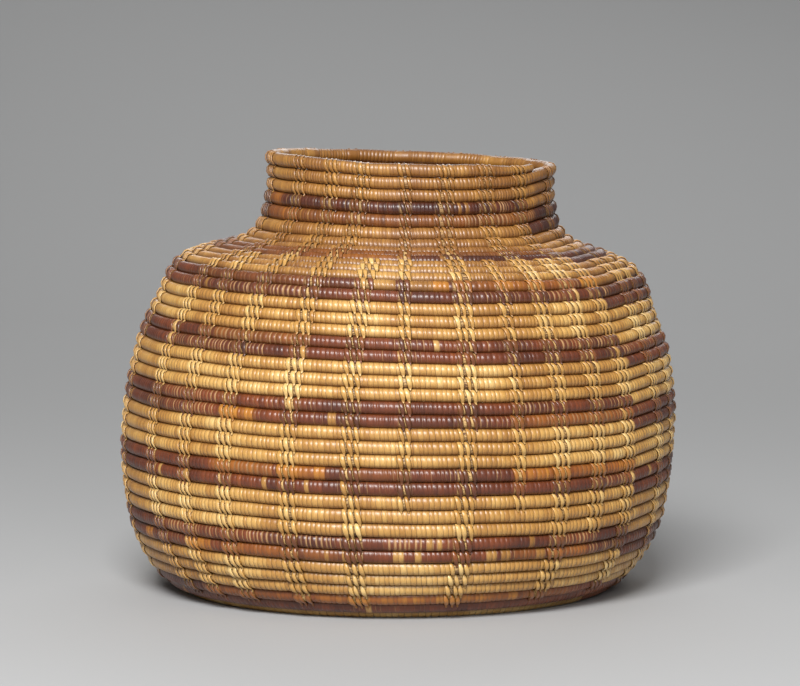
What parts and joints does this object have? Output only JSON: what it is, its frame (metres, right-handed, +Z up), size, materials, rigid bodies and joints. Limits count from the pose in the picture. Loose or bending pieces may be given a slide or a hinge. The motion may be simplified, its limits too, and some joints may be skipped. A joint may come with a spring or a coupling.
{
  "type": "coiled basket jar",
  "caption": "Round coiled basket jar with a full belly, a sloping shoulder and a short upright neck, in light and dark bands fastened by columns of long stitches.",
  "frame": {"origin": "on the floor under the middle of the belly, which is the middle of the underside of the bounding box", "axes": "+Z up through the mouth, front towards -Y; the rim leans a little towards +X"},
  "size_m": [0.2843, 0.2821, 0.2184],
  "materials": {
    "light_fibre": "satin, light golden plant fibre wrapped round a grass core",
    "dark_fibre": "satin, dark reddish brown dyed plant fibre",
    "stitch_fibre": "satin, split plant fibre strips",
    "knot_fibre": "matt, tightly wrapped plant fibre"
  },
  "bodies": {
    "root": {"rim_coils": "light_fibre", "dark_coils_1": "dark_fibre", "dark_coils_2": "dark_fibre", "dark_coils_3": "dark_fibre", "dark_coils_4": "dark_fibre", "dark_coils_5": "dark_fibre", "dark_coils_6": "dark_fibre", "dark_coils_7": "dark_fibre", "dark_coils_8": "dark_fibre", "light_coils_1": "light_fibre", "light_coils_2": "light_fibre", "light_coils_3": "light_fibre", "light_coils_4": "light_fibre", "light_coils_5": "light_fibre", "light_coils_6": "light_fibre", "light_coils_7": "light_fibre", "base_coils": "light_fibre", "start_knot": "knot_fibre", "stitch_column_01": "stitch_fibre", "stitch_column_02": "stitch_fibre", "stitch_column_03": "stitch_fibre", "stitch_column_04": "stitch_fibre", "stitch_column_05": "stitch_fibre", "stitch_column_06": "stitch_fibre", "stitch_column_07": "stitch_fibre", "stitch_column_08": "stitch_fibre", "stitch_column_09": "stitch_fibre", "stitch_column_10": "stitch_fibre", "stitch_column_11": "stitch_fibre", "stitch_column_12": "stitch_fibre", "stitch_column_13": "stitch_fibre", "stitch_column_14": "stitch_fibre", "stitch_column_15": "stitch_fibre", "stitch_column_16": "stitch_fibre", "stitch_column_17": "stitch_fibre", "stitch_column_18": "stitch_fibre", "stitch_column_19": "stitch_fibre", "stitch_column_20": "stitch_fibre", "stitch_column_21": "stitch_fibre", "stitch_column_22": "stitch_fibre", "stitch_column_23": "stitch_fibre", "stitch_column_24": "stitch_fibre", "stitch_column_25": "stitch_fibre", "stitch_column_26": "stitch_fibre", "stitch_column_27": "stitch_fibre", "stitch_column_28": "stitch_fibre", "stitch_column_29": "stitch_fibre", "stitch_column_30": "stitch_fibre", "stitch_column_31": "stitch_fibre", "stitch_column_32": "stitch_fibre"}
  },
  "joints": []
}
